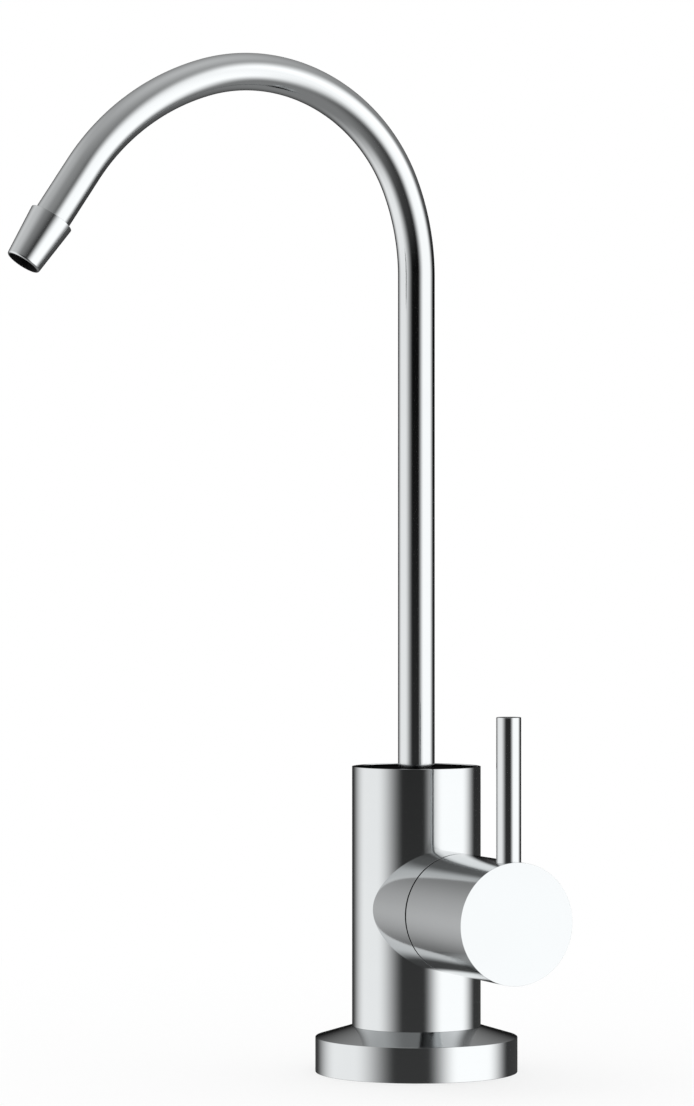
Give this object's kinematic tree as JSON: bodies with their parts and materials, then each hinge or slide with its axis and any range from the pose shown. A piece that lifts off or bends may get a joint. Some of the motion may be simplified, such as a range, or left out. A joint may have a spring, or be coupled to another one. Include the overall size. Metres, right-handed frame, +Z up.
{
  "type": "drinking water filter tap",
  "caption": "Deck-mounted drinking water tap: slim gooseneck spout, upright barrel on a round foot, side hub with a thin lever, and a threaded shank with a push-fit inlet.",
  "frame": {"origin": "centre of the base flange's underside, on the counter's surface, on the barrel's axis", "axes": "+Z up along the barrel; -Y towards the spout's outlet at rest; +X along the valve's axis towards the handle"},
  "size_m": [0.0911, 0.1441, 0.3501],
  "materials": {
    "barrel_steel": "polished stainless steel, turned",
    "flange_steel": "polished stainless steel, turned",
    "spout_steel": "polished stainless steel tube",
    "nozzle_steel": "polished stainless steel",
    "handle_steel": "polished stainless steel, turned",
    "lever_steel": "polished stainless steel rod",
    "shank_steel": "satin stainless steel, threaded",
    "zinc_steel": "zinc-plated steel",
    "clip_steel": "spring steel",
    "black_steel": "blackened steel",
    "sleeve_brass": "turned brass",
    "cartridge_brass": "turned brass",
    "nut_brass": "turned brass",
    "ceramic": "lapped alumina ceramic",
    "black_plastic": "black acetal",
    "white_plastic": "natural low-friction plastic",
    "adapter_plastic": "white acetal",
    "connector_plastic": "white acetal",
    "collet_plastic": "grey acetal",
    "seal_rubber": "black nitrile rubber",
    "gasket_rubber": "black rubber",
    "washer_rubber": "black rubber",
    "silicone": "red-brown silicone rubber"
  },
  "bodies": {
    "tap": {"main_body": "barrel_steel", "base_flange": "flange_steel", "base_gasket": "gasket_rubber", "guide_bush": "black_plastic", "cartridge_housing": "cartridge_brass", "cartridge_o_ring": "seal_rubber", "seat_seal": "silicone", "fixed_disc": "ceramic", "threaded_shank": "shank_steel", "shank_seal": "seal_rubber", "rubber_washer": "washer_rubber", "steel_washer": "zinc_steel", "lock_washer": "zinc_steel", "mounting_nut": "nut_brass", "connector_body": "connector_plastic", "connector_o_ring": "seal_rubber"},
    "spout": {"spout_tube": "spout_steel", "spout_sleeve": "sleeve_brass", "spout_o_rings": "seal_rubber", "slip_washer": "white_plastic", "outlet_nozzle": "nozzle_steel"},
    "handle": {"moving_disc": "ceramic", "valve_spindle": "cartridge_brass", "spindle_o_rings": "seal_rubber", "thrust_washer": "white_plastic", "spindle_clip": "clip_steel", "handle_hub": "handle_steel", "lever_rod": "lever_steel", "grub_screw": "black_steel", "spline_adapter": "adapter_plastic"},
    "collet": {"release_collet": "collet_plastic"}
  },
  "joints": [
    {"name": "handle_turn", "type": "hinge", "parent": "tap", "child": "handle", "pos_m": [0, 0, 0.045], "axis": [1, 0, 0], "range_deg": [0, 90]},
    {"name": "spout_swivel", "type": "hinge", "parent": "tap", "child": "spout", "pos_m": [0, 0, 0.07], "axis": [0, 0, 1], "continuous": true},
    {"name": "collet_push", "type": "slide", "parent": "tap", "child": "collet", "axis": [0, 0, 1], "range_m": [0, 0.0015]}
  ]
}
